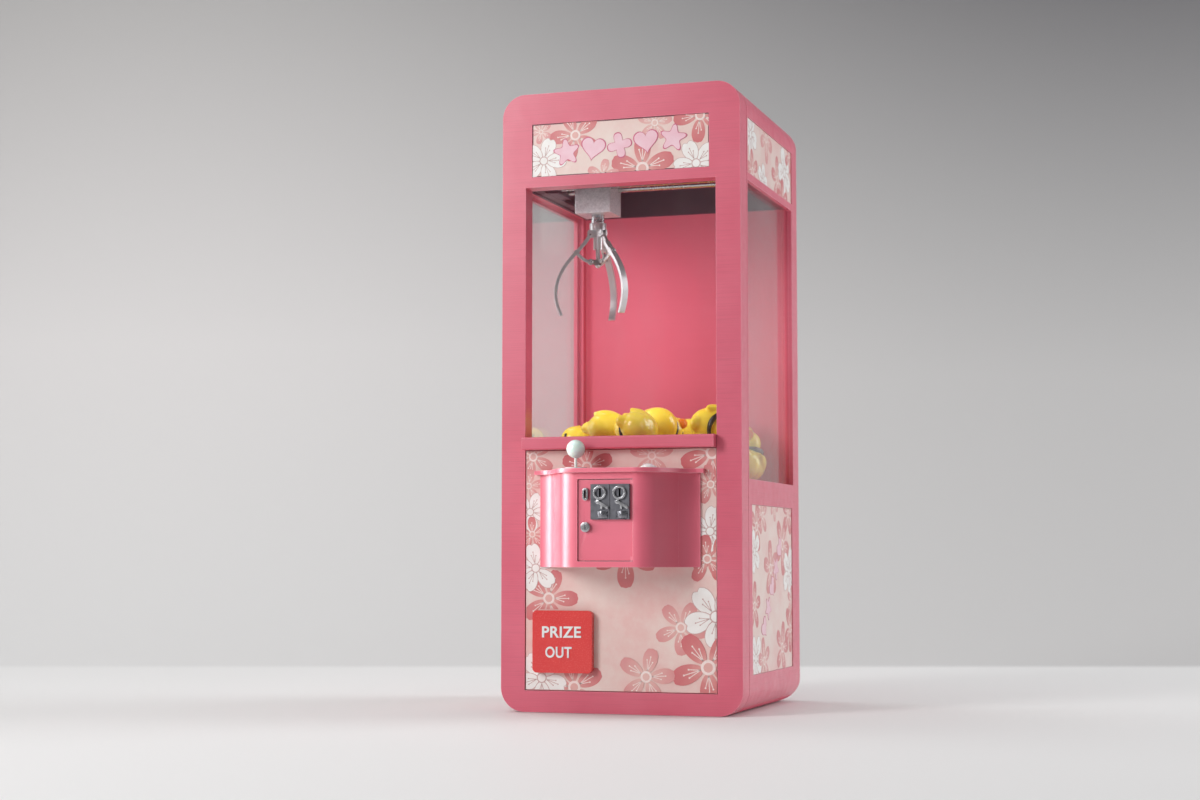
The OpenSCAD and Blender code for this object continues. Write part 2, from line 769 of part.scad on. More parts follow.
// forked lever that clears a stuck coin; it turns on a stub in its plate
module reject_lever(left) {
    x = left + lever_pivot[0];
    z = lever_pivot[1];
    reach = 2.5;
    drop = 1.4;
    y1 = plate_face_y - 0.05;
    y0 = y1 - 0.65;
    color("gainsboro") {
        pin_y(x, y0, y1, z, 0.55);
        pin_y(x, y0, plate_face_y + 0.6, z, 0.25);
        along_y(y0, y1) translate([x, z]) {
            rotate(-atan(drop / reach)) translate([0, -0.35]) square([norm([reach, drop]), 0.7]);
            translate([reach, -drop]) circle(0.35);
            translate([0.75, -1.75]) square([0.5, 1.4]);
        }
    }
}

// pockets that catch a returned coin
module return_cups() {
    half = 1.45;
    bulge = 0.9;
    r = (half * half + bulge * bulge) / (2 * bulge);
    z0 = plate_z[0] + 0.35;
    color("silver") for (x = plate_left) translate([x + 3.15, plate_face_y, z0]) difference() {
        translate([0, r - bulge, 0]) cylinder(h = 1.7, r = r);
        translate([0, r - bulge, 0.35]) cylinder(h = 3, r = r - 0.35);
        translate([-5, 0, -1]) cube([10, 10, 5]);
    }
}

module token_slot() {
    color("gainsboro") difference() {
        along_y(coin_front_y - 0.7, coin_front_y)
            rounded_rect(token_at - [0.75, 1.6], token_at + [0.75, 1.6], 0.7);
        block([token_at[0] - 0.25, coin_front_y - 1, token_at[1] - 1],
              [token_at[0] + 0.25, coin_front_y + 1, token_at[1] + 1]);
    }
}

module door_lock() {
    color("silver") difference() {
        union() {
            pin_y(lock_at[0], coin_front_y - 0.8, coin_front_y - 0.05, lock_at[1], 1.25);
            pin_y(lock_at[0], coin_front_y - 0.3, coin_front_y + coin_t + 0.9, lock_at[1], 0.7);
        }
        block([lock_at[0] - 0.15, coin_front_y - 2, lock_at[1] - 0.7],
              [lock_at[0] + 0.15, coin_front_y - 0.4, lock_at[1] + 0.7]);
    }
}

// tongue that turns behind the box's wall; it hangs down when the door is free to open
module lock_cam() {
    y0 = box_front_y + box_wall + 0.15;
    color("gray") difference() {
        along_y(y0, y0 + 0.45) {
            translate(lock_at) circle(1.2);
            translate([lock_at[0] - 0.7, lock_at[1] - 3.2]) square([1.4, 3.2]);
        }
        pin_y(lock_at[0], y0 - 1, y0 + 1, lock_at[1], 0.7);
    }
}

// open tray behind the coin door
module cash_box() {
    lo = [-6.4, -41.8, box_z + 1.3];
    hi = [6.6, -34.5, 47.5];
    t = 0.6;
    color("gray") difference() {
        block(lo, hi);
        block(lo + [t, t, t], hi + [-t, -t, 1]);
    }
}

// ---- prize door ----------------------------------------------------------------------

module prize_door() {
    y0 = door_back_y - door_t;
    corner = 1.2;
    notch = 0.65;
    color("crimson") difference() {
        along_y(y0, door_back_y) rounded_rect(door_lo, door_hi, corner);
        // the top back edge is round about the pin, so that the door can lift
        difference() {
            block([door_lo[0] - 1, door_pin_y, door_pin_z],
                  [door_hi[0] + 1, door_back_y + 1, door_hi[1] + 1]);
            pin_x(door_lo[0] - 2, door_hi[0] + 2, door_pin_y, door_pin_z, 0.8);
            block([door_lo[0] - 2, door_pin_y - 1, door_pin_z],
                  [door_hi[0] + 2, door_pin_y + 0.02, door_hi[1] + 2]);
        }
        for (x = ear_x)
            block([x - notch, door_pin_y - 0.7, door_pin_z - 0.9],
                  [x + notch, door_back_y + 1, door_hi[1] + 1]);
        pin_x(door_lo[0] + 0.8, door_hi[0] - 0.8, door_pin_y, door_pin_z, 0.25);
    }
}

module prize_door_pin() {
    color("silver") pin_x(door_lo[0] + 0.8, door_hi[0] - 0.8, door_pin_y, door_pin_z, 0.25);
}

// ---- prizes --------------------------------------------------------------------------

// a plain bath duck that faces +X and stands on z = 0
module duck(s) {
    scale(s) {
        translate([0, 0, 5]) sphere(5);
        translate([-2.6, 0, 4.6]) sphere(4.2);
        translate([1.9, 0, 10.6]) sphere(3.7);
        translate([5.3, 0, 9.9]) sphere(1.3);
        translate([-6.3, 0, 6.6]) sphere(1.5);
        for (y = [-4, 4]) translate([-0.8, y, 5.2]) sphere(1.6);
    }
}

// each duck's place, its turns about X, Y and Z, and its scale
ducks_below = [
    [[15, 9.8, 64.2], [-80, 15, 356], 0.96], [[-3.3, -3.6, 65.2], [90, 0, 216], 0.92],
    [[22.5, -11.6, 64.6], [-80, 15, 168], 1.04], [[5.7, 8.1, 64.3], [-80, 15, 208], 0.98],
    [[-22.9, 6, 60.15], [0, 0, 210], 1.16], [[-12.1, 12.2, 66.1], [100, 10, 152], 0.97],
    [[-17.1, 18.9, 64.3], [-80, 15, 69], 0.98], [[23.9, 7.5, 60.15], [0, 0, 100], 1.02],
    [[6.9, -16.7, 65.8], [90, 0, 201], 1.03]
];
ducks_on_top = [
    [[11.2, 10.3, 72.4], [0, 100, 163], 1.02], [[16.3, 0.2, 75.7], [100, 10, 32], 1.16],
    [[-9.5, -4.2, 75.4], [-90, 0, 42], 0.96], [[2.2, -9.5, 76.2], [-100, -20, 8], 1.09],
    [[16.2, 12.6, 74.8], [90, 0, 197], 1.08], [[-10.6, 8.3, 74], [-80, 15, 2], 1],
    [[5.4, -18.4, 73], [-80, 15, 75], 0.97]
];

module ducks(list) {
    for (d = list) translate(d[0]) rotate(d[1]) duck(d[2]);
}

module prize_ducks_lower() {
    color("gold") ducks(ducks_below);
}

module prize_ducks_upper() {
    color("gold") ducks(ducks_on_top);
}

// ---- pieces --------------------------------------------------------------------------

cabinet_shell();
front_bezel();
front_glass();
side_glass(-1);  // side_glass_left
side_glass(1);  // side_glass_right
header_print();
side_header_prints();
side_lower_prints();
lower_front_panel();
lower_front_print();
window_ledge();
play_deck();
prize_chute();
chute_guard();
rear_cover();
rear_cover_screws();
gantry_housing();
gantry_rails();
gantry_trucks();
cross_rods();
carriage_block();
hoist_sleeve();
hoist_rod();
claw_head();
finger_pins();
claw_plunger();
hub_pins();
claw_finger(0);  // claw_finger_1
claw_finger(1);  // claw_finger_2
claw_finger(2);  // claw_finger_3
finger_link(0);  // finger_link_1
finger_link(1);  // finger_link_2
finger_link(2);  // finger_link_3
control_box();
control_top();
joystick_base();
joystick_bracket();
joystick_gimbal();
joystick_shaft();
joystick_ball();
button_bezel();
button_cap();
button_switch();
coin_door();
coin_door_pins();
coin_plates();
coin_slot_rings();
reject_lever(plate_left[0]);  // reject_lever_left
reject_lever(plate_left[1]);  // reject_lever_right
return_cups();
token_slot();
door_lock();
lock_cam();
cash_box();
prize_door();
prize_door_pin();
prize_ducks_lower();
prize_ducks_upper();
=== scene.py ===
import json
import math
import random

import bmesh
import bpy
from mathutils import Matrix, Vector

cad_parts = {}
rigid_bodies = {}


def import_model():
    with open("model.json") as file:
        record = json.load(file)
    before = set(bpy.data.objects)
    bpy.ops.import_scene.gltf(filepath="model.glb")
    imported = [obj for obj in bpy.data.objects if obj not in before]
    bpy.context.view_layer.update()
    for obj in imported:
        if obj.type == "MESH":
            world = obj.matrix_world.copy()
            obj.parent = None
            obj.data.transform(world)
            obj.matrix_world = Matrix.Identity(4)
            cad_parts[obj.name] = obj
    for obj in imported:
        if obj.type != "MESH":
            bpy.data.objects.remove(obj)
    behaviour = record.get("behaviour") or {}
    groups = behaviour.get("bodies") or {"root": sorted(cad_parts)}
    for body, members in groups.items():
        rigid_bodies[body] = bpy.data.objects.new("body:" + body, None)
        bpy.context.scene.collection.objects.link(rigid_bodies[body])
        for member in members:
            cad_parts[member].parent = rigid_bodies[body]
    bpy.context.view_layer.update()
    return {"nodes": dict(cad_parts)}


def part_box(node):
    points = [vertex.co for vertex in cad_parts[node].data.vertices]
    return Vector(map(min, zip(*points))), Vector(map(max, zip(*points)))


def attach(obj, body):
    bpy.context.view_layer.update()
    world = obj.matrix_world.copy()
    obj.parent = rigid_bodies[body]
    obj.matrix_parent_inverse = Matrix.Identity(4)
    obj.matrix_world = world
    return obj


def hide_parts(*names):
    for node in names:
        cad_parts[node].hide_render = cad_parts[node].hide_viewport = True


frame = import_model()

MM = 0.001
NODES = frame["nodes"]
random.seed(12)


# ---- shaders -------------------------------------------------------------------------

class Shader:
    """A node material with a few short-hands. Textures read object space, in metres."""

    def __init__(self, name, **inputs):
        self.mat = bpy.data.materials.new(name)
        self.mat.use_nodes = True
        self.tree = self.mat.node_tree
        self.bsdf = self.tree.nodes["Principled BSDF"]
        self.output = self.tree.nodes["Material Output"]
        self.where = self.add("ShaderNodeTexCoord").outputs["Object"]
        for key, value in inputs.items():
            self.set(key.replace("_", " "), value)

    def add(self, kind, inputs=None, **settings):
        node = self.tree.nodes.new(kind)
        for key, value in settings.items():
            setattr(node, key, value)
        for key, value in (inputs or {}).items():
            self.feed(node.inputs[key], value)
        return node

    def feed(self, socket, value):
        if isinstance(value, bpy.types.NodeSocket):
            self.tree.links.new(value, socket)
        elif isinstance(value, tuple) and len(value) == 3 and socket.type == "RGBA":
            socket.default_value = (*value, 1)
        else:
            socket.default_value = value

    def set(self, name, value):
        self.feed(self.bsdf.inputs[name], value)

    def noise(self, scale, detail=3.0, stretch=(1, 1, 1), rough=0.5):
        """Noise whose cells are about 1 / scale metres."""
        place = self.add("ShaderNodeMapping", {"Vector": self.where, "Scale": stretch})
        return self.add("ShaderNodeTexNoise", {
            "Vector": place.outputs[0], "Scale": scale, "Detail": detail, "Roughness": rough
        }).outputs["Fac"]

    def ramp(self, fac, *stops):
        node = self.add("ShaderNodeValToRGB", {"Fac": fac})
        band = node.color_ramp.elements
        while len(band) < len(stops):
            band.new(0.5)
        for element, (place, value) in zip(band, stops):
            element.position = place
            element.color = (*value, 1) if isinstance(value, tuple) else (value, value, value, 1)
        return node.outputs["Color"]

    def mix(self, fac, a, b, blend="MIX"):
        return self.add("ShaderNodeMixRGB", {"Fac": fac, "Color1": a, "Color2": b},
                        blend_type=blend).outputs["Color"]

    def math(self, kind, a, b=0.0, clamp=False):
        return self.add("ShaderNodeMath", {0: a, 1: b}, operation=kind, use_clamp=clamp).outputs[0]

    def bump(self, height, strength, depth, normal=None):
        inputs = {"Height": height, "Strength": strength, "Distance": depth}
        if normal is not None:
            inputs["Normal"] = normal
        return self.add("ShaderNodeBump", inputs).outputs["Normal"]

    def axis(self, name):
        return self.add("ShaderNodeSeparateXYZ", {"Vector": self.where}).outputs[name]

    def edges(self, radius):
        """Nearly 1 along sharp edges and 0 on flat faces."""
        soft = self.add("ShaderNodeBevel", {"Radius": radius}, samples=4).outputs[0]
        hard = self.add("ShaderNodeNewGeometry").outputs["Normal"]
        dot = self.add("ShaderNodeVectorMath", {0: soft, 1: hard}, operation="DOT_PRODUCT")
        return self.ramp(self.math("SUBTRACT", 1.0, dot.outputs["Value"]), (0.0, 0.0), (0.25, 1.0))


CAVITY_HALF = (30.6 * MM, 28.6 * MM)  # half the width and depth of the space inside the cabinet
CAVITY_Y = 2.2 * MM                   # the middle of its depth


def pink_paint(name, color, light, layers=1.0, coat=0.3, cavity=False, coat_rough=0.24):
    """Satin paint over a printed part: faint level layer lines, mottling and painted highlights
    along the edges.
    With cavity, the walls inside the cabinet get a lighter, redder pink as painted bounce light,
    and are rougher with no clear coat."""
    s = Shader(name, Coat_Roughness=coat_rough)
    streaks = s.noise(1.0, 4, (60, 60, 4200), 0.65)
    cloud = s.noise(60, 3)
    tone = s.mix(s.ramp(cloud, (0.3, 0.0), (0.75, 1.0)), color, light)
    lines = s.ramp(streaks, (0.36, 0.86), (0.5, 1.0), (0.7, 1.05))
    tone = s.mix(0.5 * layers, tone, lines, "MULTIPLY")
    rough = s.ramp(s.noise(300, 4), (0.3, 0.34), (0.7, 0.46))
    if cavity:
        across = s.math("ABSOLUTE", s.axis("X"))
        deep = s.math("ABSOLUTE", s.math("SUBTRACT", s.axis("Y"), CAVITY_Y))
        inside = s.math("MULTIPLY", s.math("LESS_THAN", across, CAVITY_HALF[0]),
                        s.math("LESS_THAN", deep, CAVITY_HALF[1]))
        rough = s.mix(inside, rough, (0.62, 0.62, 0.62))
        # painted bounce light: the inside walls are given a lighter, redder pink than the outside
        tone = s.mix(s.math("MULTIPLY", inside, 0.6), tone, (0.74, 0.135, 0.20))
        s.set("Coat Weight", s.math("MULTIPLY", s.math("SUBTRACT", 1.0, inside), coat))
    else:
        s.set("Coat Weight", coat)
    # painted highlight: sharp edges are lightened towards pale pink, as if they caught the light
    painted_edge_highlight = s.math("MULTIPLY", s.edges(0.35 * MM), 0.35)
    s.set("Base Color", s.mix(painted_edge_highlight, tone, (0.95, 0.6, 0.66)))
    s.set("Roughness", rough)
    fine = s.bump(s.noise(2600, 2), 0.12, 0.03 * MM)
    s.set("Normal", s.bump(streaks, 0.25 * layers, 0.04 * MM, fine))
    return s.mat


def clear_pane(name, tint, shine, haze):
    """A thin window: light passes straight through, a little is mirrored, and a film of dust
    scatters some."""
    s = Shader(name)
    smear = s.noise(55, 5, (1, 1, 0.35), 0.6)
    facing = s.add("ShaderNodeFresnel", {"IOR": 1.45}).outputs[0]
    share = s.math("MULTIPLY", facing, shine, clamp=True)
    through = s.add("ShaderNodeBsdfTransparent", {"Color": s.mix(smear, tint, (1, 1, 1))})
    mirror = s.add("ShaderNodeBsdfGlossy", {
        "Color": (1, 1, 1), "Roughness": s.ramp(smear, (0.35, 0.02), (0.75, 0.09))})
    film = s.add("ShaderNodeBsdfDiffuse", {"Color": (0.75, 0.76, 0.78)})
    dust = s.math("MULTIPLY", s.ramp(smear, (0.45, 0.0), (0.8, 1.0)), haze)
    body = s.add("ShaderNodeMixShader", {0: dust, 1: through.outputs[0], 2: film.outputs[0]})
    both = s.add("ShaderNodeMixShader", {0: share, 1: body.outputs[0], 2: mirror.outputs[0]})
    s.tree.links.new(both.outputs[0], s.output.inputs["Surface"])
    return s.mat


def metal(name, color, rough, brushed=0.0, metallic=1.0, dark=(0.08, 0.07, 0.08), grain=0.04):
    """Metal with faint grime. brushed draws the grain out along Z and deepens it."""
    s = Shader(name, Metallic=metallic)
    grime = s.ramp(s.noise(420, 4, rough=0.6), (0.4, 0.0), (0.85, 1.0))
    s.set("Base Color", s.mix(s.math("MULTIPLY", grime, 0.2), color, dark))
    s.set("Roughness", s.ramp(s.noise(900, 3), (0.3, rough * 0.8), (0.75, rough * 1.3)))
    s.set("Normal", s.bump(s.noise(3500, 3, (1, 1, 0.08 if brushed else 1)),
                           grain + brushed, 0.008 * MM))
    return s.mat


def cast_silver():
    """Pale silver paint over a grainy casting."""
    s = Shader("cast_silver", Metallic=0.55)
    grain = s.noise(1500, 5, rough=0.7)
    s.set("Base Color", s.ramp(grain, (0.3, (0.60, 0.59, 0.62)), (0.7, (0.88, 0.87, 0.90))))
    s.set("Roughness", s.ramp(s.noise(500, 3), (0.3, 0.42), (0.7, 0.6)))
    s.set("Normal", s.bump(grain, 0.45, 0.05 * MM))
    return s.mat


def plastic(name, color, light, rough=0.25, subsurface=0.0, speck=900):
    """Glossy moulded plastic. speck sets how fine its surface grain is."""
    s = Shader(name, Coat_Weight=0.3, Coat_Roughness=0.12)
    s.set("Base Color", s.mix(s.ramp(s.noise(130, 4), (0.3, 0.0), (0.75, 1.0)), color, light))
    s.set("Roughness", s.ramp(s.noise(speck, 3), (0.3, rough * 0.8), (0.7, rough * 1.3)))
    s.set("Normal", s.bump(s.noise(speck * 2, 3), 0.12, 0.03 * MM))
    if subsurface:
        s.set("Subsurface Weight", subsurface)
        s.set("Subsurface Radius", (1.2 * MM, 0.7 * MM, 0.3 * MM))
        s.set("Subsurface Scale", 1.0)
    return s.mat


def sheet_paper():
    """Glossy printed sheet: a mottled pale ground under clear film."""
    s = Shader("printed_sheet", Coat_Weight=0.5, Coat_Roughness=0.2, Roughness=0.4)
    wash = s.ramp(s.noise(70, 4, rough=0.6), (0.35, 0.0), (0.68, 1.0))
    ground = s.mix(wash, (0.82, 0.66, 0.60), (0.80, 0.49, 0.46))
    fleck = s.ramp(s.noise(260, 4, rough=0.7), (0.42, 0.0), (0.75, 1.0))
    s.set("Base Color", s.mix(s.math("MULTIPLY", fleck, 0.35), ground, (0.87, 0.78, 0.72)))
    s.set("Normal", s.bump(s.noise(1800, 3), 0.1, 0.02 * MM))
    return s.mat


def petal_ink():
    """Coral ink: paler at the blossom's heart, deeper at its rim, thinner where tone is low.
    The sheet's vertices carry the heart's place, and the blossom's reach and tone."""
    s = Shader("coral_petal", Coat_Weight=0.5, Coat_Roughness=0.2, Roughness=0.4)
    heart = s.add("ShaderNodeAttribute", attribute_name="heart").outputs["Vector"]
    bloom = s.add("ShaderNodeAttribute", attribute_name="bloom").outputs["Color"]
    reach_of, tone_of, _ = s.add("ShaderNodeSeparateColor", {"Color": bloom}).outputs
    away = s.add("ShaderNodeVectorMath", {0: s.where, 1: heart}, operation="DISTANCE")
    reach = s.math("DIVIDE", away.outputs["Value"], reach_of)
    wash = s.math("MULTIPLY", s.math("SUBTRACT", s.noise(420, 4, rough=0.6), 0.5), 0.5)
    reach = s.math("ADD", reach, wash)
    strong = s.ramp(reach, (0.1, (0.74, 0.36, 0.33)), (0.45, (0.66, 0.20, 0.20)),
                    (0.9, (0.62, 0.135, 0.15)))
    faint = s.ramp(reach, (0.1, (0.80, 0.52, 0.47)), (0.9, (0.74, 0.34, 0.33)))
    s.set("Base Color", s.mix(tone_of, faint, strong))
    s.set("Normal", s.bump(s.noise(1800, 3), 0.1, 0.02 * MM))
    return s.mat


def ink(name, color, other):
    """Printed ink under the same clear film, in two close tones."""
    s = Shader(name, Coat_Weight=0.5, Coat_Roughness=0.2, Roughness=0.4)
    s.set("Base Color", s.mix(s.ramp(s.noise(300, 4), (0.35, 0.0), (0.7, 1.0)), color, other))
    s.set("Normal", s.bump(s.noise(1800, 3), 0.1, 0.02 * MM))
    return s.mat


def dark_housing():
    """Plum-grey paint inside the crane's housing."""
    s = Shader("dark_housing", Specular_IOR_Level=0.3)
    s.set("Base Color", s.ramp(s.noise(50, 4), (0.3, (0.12, 0.047, 0.075)),
                               (0.7, (0.20, 0.11, 0.145))))
    s.set("Roughness", s.ramp(s.noise(400, 3), (0.3, 0.5), (0.7, 0.65)))
    s.set("Normal", s.bump(s.noise(1200, 3), 0.15, 0.03 * MM))
    return s.mat


PINK = pink_paint("pink_paint", (0.67, 0.100, 0.165), (0.72, 0.130, 0.200), coat=0.55, cavity=True)
PINK_SMOOTH = pink_paint("pink_panel", (0.66, 0.095, 0.155), (0.70, 0.12, 0.185), layers=0.25,
                         coat=1.0, coat_rough=0.36)
PINK_DEEP = pink_paint("deck_pink", (0.66, 0.10, 0.16), (0.72, 0.14, 0.21), layers=0.4)
GLASS = clear_pane("window", (0.985, 0.985, 0.985), shine=0.4, haze=0.055)
FENCE = clear_pane("fence", (0.95, 0.97, 0.975), shine=0.5, haze=0.02)
CHROME = metal("chrome", (0.72, 0.71, 0.73), rough=0.36, metallic=0.7, dark=(0.6, 0.58, 0.6),
               grain=0.0)
STEEL = metal("steel", (0.52, 0.52, 0.54), rough=0.24, brushed=0.08)
PLATE = metal("plate_grey", (0.17, 0.17, 0.19), rough=0.36, brushed=0.1)
CUP = metal("cup_grey", (0.30, 0.30, 0.33), rough=0.28, brushed=0.05)
SILVER = cast_silver()
WHITE = plastic("white_plastic", (0.84, 0.85, 0.83), (0.89, 0.89, 0.88), rough=0.2,
                subsurface=0.15, speck=2200)
MINT = plastic("mint_ball", (0.62, 0.84, 0.76), (0.80, 0.90, 0.86), rough=0.14, subsurface=0.2,
               speck=2200)
RED = plastic("red_flap", (0.72, 0.040, 0.040), (0.77, 0.055, 0.05), rough=0.24, speck=3200)
YELLOW = plastic("duck_yellow", (0.98, 0.67, 0.04), (1.0, 0.84, 0.11), rough=0.2, subsurface=0.2)
ORANGE = plastic("duck_orange", (0.85, 0.20, 0.01), (0.90, 0.27, 0.03), subsurface=0.15)
BLACK = plastic("duck_black", (0.018, 0.013, 0.012), (0.035, 0.026, 0.024), rough=0.3)
DARK = dark_housing()
# painted shadow: dark ink for the shade in the gap round the header sheet
GAP_SHADOW = ink("painted_gap_shadow", (0.10, 0.015, 0.03), (0.16, 0.03, 0.05))
SHEET = sheet_paper()
CORAL = petal_ink()
PAPER_WHITE = ink("white_petal", (0.86, 0.82, 0.79), (0.92, 0.90, 0.88))
PALE_LINE = ink("pale_line", (0.88, 0.70, 0.66), (0.92, 0.78, 0.74))
GREY_LINE = ink("grey_line", (0.56, 0.36, 0.34), (0.64, 0.44, 0.42))
ICON = ink("icon_pink", (0.84, 0.50, 0.58), (0.88, 0.60, 0.67))
ICON_RIM = ink("icon_rim", (0.58, 0.10, 0.20), (0.64, 0.14, 0.25))


# ---- CAD nodes: materials and softened edges -----------------------------------------

WELD = 1e-6  # metres: vertices this close are one


def dress(material, width, *names):
    """Gives CAD nodes a material, and edges rounded to width millimetres."""
    for name in names:
        node = NODES[name]
        node.data.materials.clear()
        node.data.materials.append(material)
        if not width:
            continue
        weld = node.modifiers.new("weld", "WELD")
        weld.merge_threshold = WELD
        bevel = node.modifiers.new("soft_edges", "BEVEL")
        bevel.width = width * MM
        bevel.segments = 3
        bevel.limit_method = "ANGLE"
        bevel.angle_limit = math.radians(38)
        node.data.shade_smooth()
        node.modifiers.new("normals", "WEIGHTED_NORMAL").keep_sharp = False


dress(PINK, 0.3, "cabinet_shell", "front_bezel")
dress(PINK, 0.15, "lower_front_panel", "window_ledge", "rear_cover")
dress(PINK_SMOOTH, 0.15, "control_box", "coin_door")
dress(PINK_SMOOTH, 0.22, "control_top")
dress(PINK_DEEP, 0.1, "play_deck", "prize_chute")
dress(GLASS, 0, "front_glass", "side_glass_left", "side_glass_right")
dress(FENCE, 0, "chute_guard")
dress(SHEET, 0, "header_print", "side_header_prints", "side_lower_prints", "lower_front_print")
dress(DARK, 0, "gantry_housing")
dress(DARK, 0.1, "gantry_rails", "gantry_trucks", "joystick_bracket", "joystick_gimbal",
      "button_switch")
dress(STEEL, 0.08, "hoist_sleeve", "hoist_rod", "cross_rods", "rear_cover_screws", "door_lock",
      "coin_slot_rings", "token_slot", "reject_lever_left", "reject_lever_right")
dress(CUP, 0.08, "return_cups")
dress(STEEL, 0.03, "finger_pins", "hub_pins", "coin_door_pins", "prize_door_pin")
dress(SILVER, 0.3, "carriage_block")
dress(CHROME, 0.1, "claw_head", "claw_plunger")
dress(CHROME, 0.16, "claw_finger_1", "claw_finger_2", "claw_finger_3")
dress(CHROME, 0.08, "finger_link_1", "finger_link_2", "finger_link_3")
dress(WHITE, 0.12, "joystick_base", "button_bezel", "button_cap")
dress(WHITE, 0.03, "joystick_shaft")
dress(MINT, 0, "joystick_ball")
dress(PLATE, 0.12, "coin_plates", "lock_cam", "cash_box")
dress(RED, 0.5, "prize_door")


# ---- pieces --------------------------------------------------------------------------

def piece(name, mesh, body, slot, *materials):
    """Adds a mesh as a piece of the object that rides on a body."""
    obj = bpy.data.objects.new(name, mesh)
    bpy.context.scene.collection.objects.link(obj)
    for material in materials:
        mesh.materials.append(material)
    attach(obj, body)
    return obj


def finished(name, bm):
    """Turns a bmesh into a mesh whose faces all point outwards, and frees it."""
    mesh = bpy.data.meshes.new(name)
    bmesh.ops.recalc_face_normals(bm, faces=bm.faces)
    bm.to_mesh(mesh)
    bm.free()
    return mesh


# ---- blossom prints ------------------------------------------------------------------

# in millimetres
STEP = 0.0008  # each level of a motif lies this much above the one below it
FOOT = 0.02    # the first level's height above its sheet
SINK = 0.01    # how far a shape's underside reaches into its sheet

LEVELS = 20    # levels in a motif
INKS = (CORAL, PAPER_WHITE, PALE_LINE, GREY_LINE, ICON, ICON_RIM)
IN_CORAL, IN_WHITE, IN_PALE, IN_GREY, IN_ICON, IN_RIM = range(len(INKS))


def clipped(points, lo, hi):
    """A polygon cut to a rectangle."""
    for axis, limit, sign in ((0, lo[0], 1), (0, hi[0], -1), (1, lo[1], 1), (1, hi[1], -1)):
        kept = []
        for a, b in zip(points, points[1:] + points[:1]):
            da, db = sign * (a[axis] - limit), sign * (b[axis] - limit)
            if da >= 0:
                kept.append(a)
            if (da < 0) != (db < 0):
                t = da / (da - db)
                kept.append((a[0] + t * (b[0] - a[0]), a[1] + t * (b[1] - a[1])))
        points = kept
        if len(points) < 3:
            return []
    return points


class Print:
    """A flat sheet that shapes are printed on. Shapes are drawn in millimetres, in the sheet's
    own across and up directions, and cut to its windows."""

    def __init__(self, origin, across, out, windows):
        self.origin, self.across, self.out = Vector(origin), Vector(across), Vector(out)
        self.windows = windows
        self.bm = bmesh.new()
        self.heart = self.bm.verts.layers.float_vector.new("heart")
        self.bloom = self.bm.verts.layers.float_color.new("bloom")
        self.placed = []
        self.level = 0

    def begin(self, x, y, reach):
        """Starts a motif, on a layer above every earlier motif that it may touch."""
        under = [layer for px, py, pr, layer in self.placed
                 if math.hypot(px - x, py - y) < pr + reach]
        layer = 1 + max(under, default=-1)
        self.placed.append((x, y, reach, layer))
        self.base = layer * LEVELS
        self.level = 0

    def rise(self):
        self.level += 1

    def point(self, x, y, height):
        return self.origin + (self.across * x + Vector((0, 0, y)) + self.out * height) * MM

    def shape(self, points, ink_index, heart=(0, 0), reach=1.0, tone=1.0):
        """Prints a polygon. Petal ink reads its blossom's heart, reach and tone."""
        height = FOOT + STEP * (self.base + self.level)
        for lo, hi in self.windows:
            cut = clipped(points, lo, hi)
            if len(cut) < 3:
                continue
            rings = []
            for h in (height, -SINK):
                ring = [self.bm.verts.new(self.point(x, y, h)) for x, y in cut]
                for v in ring:
                    v[self.heart] = self.point(*heart, height)
                    v[self.bloom] = (reach * MM, tone, 0, 1)
                rings.append(ring)
            top, under = rings
            faces = [self.bm.faces.new(top), self.bm.faces.new(list(reversed(under)))]
            for i in range(len(cut)):
                j = (i + 1) % len(cut)
                faces.append(self.bm.faces.new((top[j], top[i], under[i], under[j])))
            for f in faces:
                f.material_index = ink_index

    def finish(self, name):
        bmesh.ops.dissolve_degenerate(self.bm, dist=1e-7, edges=self.bm.edges)
        piece(name, finished(name, self.bm), "cabinet", "print_sheet", *INKS)


def disc(cx, cy, r, n=28):
    turns = [math.tau * k / n for k in range(n)]
    return [(cx + r * math.cos(a), cy + r * math.sin(a)) for a in turns]


def petal(cx, cy, turn, inner, outer, half, notch, grow=0.0, teeth=0.0):
    """Outline of a petal that points along turn: a long egg with a notched or toothed tip."""
    points = []
    middle, reach = (inner + outer) / 2, (outer - inner) / 2 + grow
    for k in range(40):
        a = math.tau * k / 40
        u = middle + reach * math.cos(a)
        w = (half + grow) * math.sin(a) * (1 + 0.16 * math.cos(a))
        off = min(a, math.tau - a)
        u -= notch * math.exp(-(off / 0.2) ** 2)
        u += teeth * math.cos(11 * a) * max(0.0, math.cos(a)) ** 2
        points.append((cx + u * math.cos(turn) - w * math.sin(turn),
                       cy + u * math.sin(turn) + w * math.cos(turn)))
    return points


def stroke(cx, cy, turn, a, b, width, lean=0.0):
    """A thin bar from distance a to distance b along turn, shifted sideways by lean at its end."""
    c, s = math.cos(turn), math.sin(turn)
    corners = ((a, -width / 2), (b, lean - width / 2), (b, lean + width / 2), (a, width / 2))
    return [(cx + u * c - w * s, cy + u * s + w * c) for u, w in corners]


